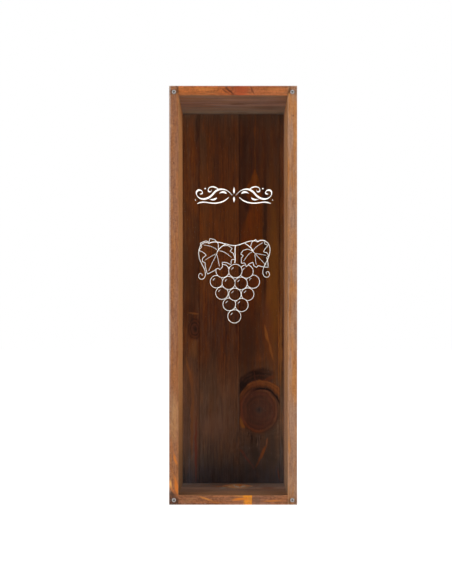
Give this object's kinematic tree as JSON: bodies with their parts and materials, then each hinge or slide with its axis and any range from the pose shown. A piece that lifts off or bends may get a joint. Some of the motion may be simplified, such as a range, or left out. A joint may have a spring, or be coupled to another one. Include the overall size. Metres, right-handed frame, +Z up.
{
  "type": "wooden wine box",
  "caption": "Upright wooden box for one wine bottle, closed at the back by tongue and groove staves and at the front by a clear cover held with small screws.",
  "frame": {"origin": "middle of the box's outer size at the underside of its bottom end", "axes": "+Z up towards the top end; the clear cover faces -Y; +X to the right seen from the front"},
  "size_m": [0.11, 0.1106, 0.36],
  "materials": {
    "stained_pine": "dark stained and left matt, with open grain",
    "stained_pine_back": "darker stained, matt",
    "clear_acrylic": "clear and polished, with a bevelled edge",
    "zinc_screw": "bright zinc plate",
    "nail_steel": "plain drawn wire"
  },
  "bodies": {
    "box": {"left_side": "stained_pine", "right_side": "stained_pine", "top_end": "stained_pine", "bottom_end": "stained_pine", "left_stave": "stained_pine_back", "mid_left_stave": "stained_pine_back", "mid_right_stave": "stained_pine_back", "right_stave": "stained_pine_back", "left_side_nails": "nail_steel", "right_side_nails": "nail_steel", "back_pins": "nail_steel"},
    "cover": {"front_cover": "clear_acrylic"},
    "top_left_screw": {"screw_top_left": "zinc_screw"},
    "top_right_screw": {"screw_top_right": "zinc_screw"},
    "bottom_left_screw": {"screw_bottom_left": "zinc_screw"},
    "bottom_right_screw": {"screw_bottom_right": "zinc_screw"}
  },
  "joints": [
    {"name": "cover_lift_off", "type": "slide", "parent": "box", "child": "cover", "axis": [0, -1, 0], "range_m": [0, 0.12]},
    {"name": "top_left_screw_out", "type": "slide", "parent": "cover", "child": "top_left_screw", "axis": [0, -1, 0], "range_m": [0, 0.02]},
    {"name": "top_right_screw_out", "type": "slide", "parent": "cover", "child": "top_right_screw", "axis": [0, -1, 0], "range_m": [0, 0.02]},
    {"name": "bottom_left_screw_out", "type": "slide", "parent": "cover", "child": "bottom_left_screw", "axis": [0, -1, 0], "range_m": [0, 0.02]},
    {"name": "bottom_right_screw_out", "type": "slide", "parent": "cover", "child": "bottom_right_screw", "axis": [0, -1, 0], "range_m": [0, 0.02]}
  ]
}
